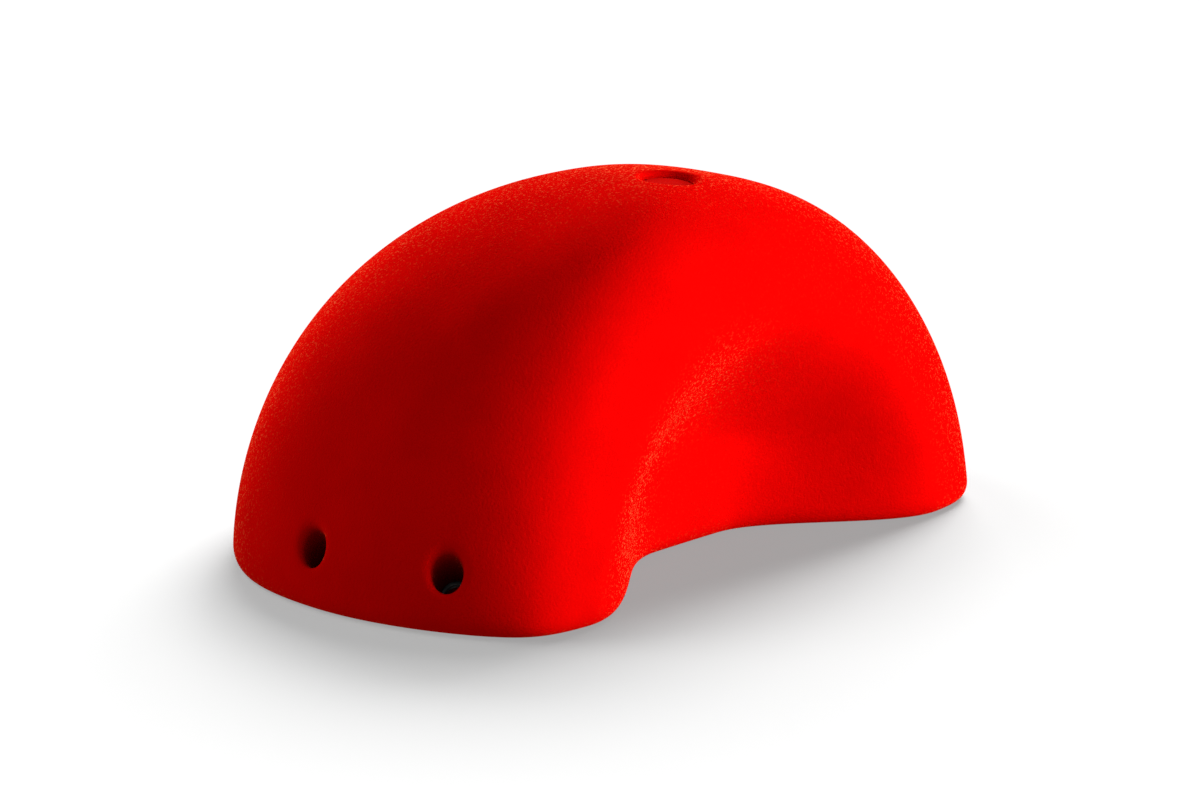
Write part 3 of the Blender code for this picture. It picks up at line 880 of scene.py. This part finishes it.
def buildSeatedWashers():
    # sets a ring with rounded edges on every seat, square to that well's axis
    length = "NodeSocketFloat"
    tree, start, end = newGroup("seatedWashers", "GeometryNodeTree", [
        ("Seats", "NodeSocketGeometry", None),
        ("Outer Radius", length, washers["outerRadius"]),
        ("Inner Radius", length, washers["innerRadius"]),
        ("Thickness", length, washers["thickness"]),
        ("Lift", length, washers["lift"]),
        ("Rounded Edge", length, washers["roundedEdge"]),
        ("Around", "NodeSocketInt", washers["around"]),
        ("Material", "NodeSocketMaterial", None),
    ], [("Geometry", "NodeSocketGeometry", None)])
    given, links = start.outputs, tree.links
    circle = tree.nodes.new("GeometryNodeCurvePrimitiveCircle")
    links.new(given["Around"], circle.inputs["Resolution"])
    middle = calc(tree, "MULTIPLY", calc(tree, "ADD", given["Outer Radius"], given["Inner Radius"]), 0.5)
    links.new(middle, circle.inputs["Radius"])
    section = tree.nodes.new("GeometryNodeCurvePrimitiveQuadrilateral")
    width = calc(tree, "SUBTRACT", given["Outer Radius"], given["Inner Radius"])
    links.new(width, section.inputs["Width"])
    links.new(given["Thickness"], section.inputs["Height"])
    softened = tree.nodes.new("GeometryNodeFilletCurve")
    softened.mode = "POLY"
    softened.inputs["Count"].default_value = washers["edgeSteps"]
    links.new(section.outputs["Curve"], softened.inputs["Curve"])
    links.new(given["Rounded Edge"], softened.inputs["Radius"])
    ringMesh = tree.nodes.new("GeometryNodeCurveToMesh")
    links.new(circle.outputs["Curve"], ringMesh.inputs["Curve"])
    links.new(softened.outputs["Curve"], ringMesh.inputs["Profile Curve"])
    lift = tree.nodes.new("ShaderNodeCombineXYZ")
    halfThickness = calc(tree, "MULTIPLY", given["Thickness"], 0.5)
    links.new(calc(tree, "ADD", given["Lift"], halfThickness), lift.inputs["Z"])
    lifted = tree.nodes.new("GeometryNodeSetPosition")
    links.new(ringMesh.outputs["Mesh"], lifted.inputs["Geometry"])
    links.new(lift.outputs[0], lifted.inputs["Offset"])
    axis = tree.nodes.new("GeometryNodeInputNamedAttribute")
    axis.data_type = "FLOAT_VECTOR"
    axis.inputs["Name"].default_value = "wellAxis"
    stand = tree.nodes.new("FunctionNodeAlignRotationToVector")
    stand.axis = "Z"
    links.new(axis.outputs["Attribute"], stand.inputs["Vector"])
    seated = tree.nodes.new("GeometryNodeInstanceOnPoints")
    links.new(given["Seats"], seated.inputs["Points"])
    links.new(lifted.outputs["Geometry"], seated.inputs["Instance"])
    links.new(stand.outputs["Rotation"], seated.inputs["Rotation"])
    realize = tree.nodes.new("GeometryNodeRealizeInstances")
    paint = tree.nodes.new("GeometryNodeSetMaterial")
    links.new(seated.outputs["Instances"], realize.inputs["Geometry"])
    links.new(realize.outputs["Geometry"], paint.inputs["Geometry"])
    links.new(given["Material"], paint.inputs["Material"])
    links.new(paint.outputs["Geometry"], end.inputs["Geometry"])
    return tree


places = [(Vector(spot), Vector(seat)) for spot, seat in wells["seats"].values()]
seatMesh = bpy.data.meshes.new("washerSeats")
seatMesh.from_pydata([seat for spot, seat in places], [], [])
axes = seatMesh.attributes.new("wellAxis", "FLOAT_VECTOR", "POINT")
axes.data.foreach_set("vector", np.array([(spot - seat).normalized() for spot, seat in places]).ravel())
screwWashers = addObject("screwWashers", seatMesh)
modifier = screwWashers.modifiers.new("washers", "NODES")
modifier.node_group = buildSeatedWashers()
setInputs(modifier, {"Material": zincSteel})
screwWashers = bake(screwWashers, "screwWashers")
screwWashers.data.shade_smooth()
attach(screwWashers, "root")
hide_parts(*["screw_washer_" + name for name in wells["seats"]])
print("screw washers seated:", len(screwWashers.data.polygons), "faces")

# Studio: soft lamps light the hold, and soft suns light the white paper that carries its shadow.
# Which of them are used and how strong come from a least-squares solve against the photograph's
# brightness, and the lamps' powers were then changed.

studio = {
    "half": 6.0,
    "paperColour": 0.05,
    "paperInShadow": 0.35,
    "ambient": 0.22,
    "middle": (0.0, -0.010, 0.050),
    "lampGap": 0.002,  # from the paper to the upward lamps
    "lamps": [
        # name, turn from the front towards the right and height in degrees, distance, width, power
        ("frontRightLow", 30, 12, 1.2, 0.50, 10.4),
        ("frontLow", 18, 12, 1.2, 0.50, 4.3),
        ("frontRightFlat", 42, 6, 1.2, 0.30, 4.0),
        ("rearRight", 112, 30, 1.2, 0.30, 1.0),
        ("rear", 132, 38, 1.2, 0.30, 10.0),
        ("rearLeft", 160, 30, 1.2, 0.30, 7.0),
        ("leftRearLow", 215, 8, 1.1, 0.15, 2.6),
    ],
    "upwardLamps": [
        # name, turn, distance, width, power
        ("upFront", -20, 0.30, 0.22, 0.38),
        ("upBack", 215, 0.30, 0.22, 0.52),
    ],
    "paperSuns": [
        # name, turn, height, softness in degrees, how much of white it gives
        ("sunRightHigh", 108, 50, 26, 0.21),
        ("sunRight", 108, 35, 26, 0.21),
        ("sunRear", 132, 35, 26, 0.17),
        ("sunRearLeft", 204, 50, 26, 0.09),
    ],
}


def seenDirectly(tree):
    # 1 for camera, glossy and transmission rays
    rays = tree.nodes.new("ShaderNodeLightPath").outputs
    seen = calc(tree, "MAXIMUM", rays["Is Camera Ray"], rays["Is Glossy Ray"])
    return calc(tree, "MAXIMUM", seen, rays["Is Transmission Ray"])


def makePaper():
    # seen by the camera and in reflections; it throws no light on the hold
    half = studio["half"]
    mesh = bpy.data.meshes.new("studioPaper")
    corners = [(-half, -half, 0), (half, -half, 0), (half, half, 0), (-half, half, 0)]
    mesh.from_pydata(corners, [], [(0, 1, 2, 3)])
    paper = addObject("studioPaper", mesh)
    paint = bpy.data.materials.new("studioPaper")
    paint.use_nodes = True
    tree = paint.node_tree
    shader = tree.nodes["Principled BSDF"]
    shader.inputs["Base Color"].default_value = (*[studio["paperColour"]] * 3, 1)
    shader.inputs["Roughness"].default_value = 1.0
    shader.inputs["Specular IOR Level"].default_value = 0.0
    shader.inputs["Emission Color"].default_value = (1, 1, 1, 1)
    glow = calc(tree, "MULTIPLY", seenDirectly(tree), studio["paperInShadow"])
    tree.links.new(glow, shader.inputs["Emission Strength"])
    mesh.materials.append(paint)
    paper.visible_diffuse = False
    paper.visible_shadow = False
    return paper


def makeWorld():
    world = bpy.data.worlds.new("whiteSurround")
    world.use_nodes = True
    tree = world.node_tree
    glow = easeBetween(tree, seenDirectly(tree), 0.0, 1.0, studio["ambient"], 1.0)
    background = tree.nodes["Background"]
    background.inputs["Color"].default_value = (1, 1, 1, 1)
    tree.links.new(glow, background.inputs["Strength"])
    bpy.context.scene.world = world


def towards(turn, height):
    around, up = math.radians(turn), math.radians(height)
    return Vector((math.sin(around) * math.cos(up), -math.cos(around) * math.cos(up), math.sin(up)))


def placeLamp(name, lamp, spot, out, receivers):
    # shines against the direction out, on what the receivers' collection says
    made = bpy.data.objects.new(name, lamp)
    made.location = spot
    made.rotation_mode = "QUATERNION"
    made.rotation_quaternion = out.to_track_quat("Z", "Y")
    made.visible_camera = False
    made.light_linking.receiver_collection = receivers
    bpy.context.scene.collection.objects.link(made)


def softLamp(name, width, power):
    lamp = bpy.data.lights.new(name, "AREA")
    lamp.shape = "SQUARE"
    lamp.size = width
    lamp.energy = power
    return lamp


def receiversWith(name, paper, state):
    # what a lamp lights: the paper alone, or everything but the paper
    receivers = bpy.data.collections.new(name)
    receivers.objects.link(paper)
    receivers.collection_objects[0].light_linking.link_state = state
    return receivers


def lightStudio(paper):
    onPaper = receiversWith("onPaper", paper, "INCLUDE")
    offPaper = receiversWith("offPaper", paper, "EXCLUDE")
    middle = Vector(studio["middle"])
    for name, turn, height, distance, width, power in studio["lamps"]:
        out = towards(turn, height)
        placeLamp(name, softLamp(name, width, power), middle + out * distance, out, offPaper)
    for name, turn, distance, width, power in studio["upwardLamps"]:
        spot = towards(turn, 0) * distance + Vector((middle.x, middle.y, studio["lampGap"]))
        placeLamp(name, softLamp(name, width, power), spot, Vector((0, 0, -1)), offPaper)
    for name, turn, height, softness, level in studio["paperSuns"]:
        out = towards(turn, height)
        lamp = bpy.data.lights.new(name, "SUN")
        lamp.angle = math.radians(softness)
        lamp.energy = level * math.pi / (studio["paperColour"] * out.z)
        placeLamp(name, lamp, middle + out, out, onPaper)


paper = makePaper()
makeWorld()
lightStudio(paper)
bpy.context.scene.view_settings.view_transform = "Standard"
print("studio lit")

# Camera at the photograph's angle, from the same fit as the casting's shape

view = {
    "turn": 47.824,
    "height": 13.907,
    "distance": 1.12022,
    "about": (0.0, -0.0099, 0.0531),
    "aim": (0.0, -0.0099, 0.04102),
    "aimRight": -0.00059,
    "lens": 102.2,
    "sensorWidth": 36.0,
    "roll": 0.786,
}


def makeCamera():
    turn, height = math.radians(view["turn"]), math.radians(view["height"])
    flat = math.cos(height)
    out = Vector((-math.sin(turn) * flat, -math.cos(turn) * flat, math.sin(height)))
    spot = Vector(view["about"]) + out * view["distance"]
    aim = Vector(view["aim"]) + Vector((math.cos(turn), -math.sin(turn), 0)) * view["aimRight"]
    back = (spot - aim).normalized()
    level = Vector((0, 0, 1)).cross(back).normalized()
    upright = back.cross(level)
    roll = math.radians(view["roll"])
    right = level * math.cos(roll) + upright * math.sin(roll)
    up = upright * math.cos(roll) - level * math.sin(roll)
    data = bpy.data.cameras.new("photoCamera")
    data.lens = view["lens"]
    data.sensor_width = view["sensorWidth"]
    camera = bpy.data.objects.new("photoCamera", data)
    camera.matrix_world = Matrix.Translation(spot) @ Matrix((right, up, back)).transposed().to_4x4()
    bpy.context.scene.collection.objects.link(camera)
    bpy.context.scene.camera = camera


makeCamera()
print("camera set")
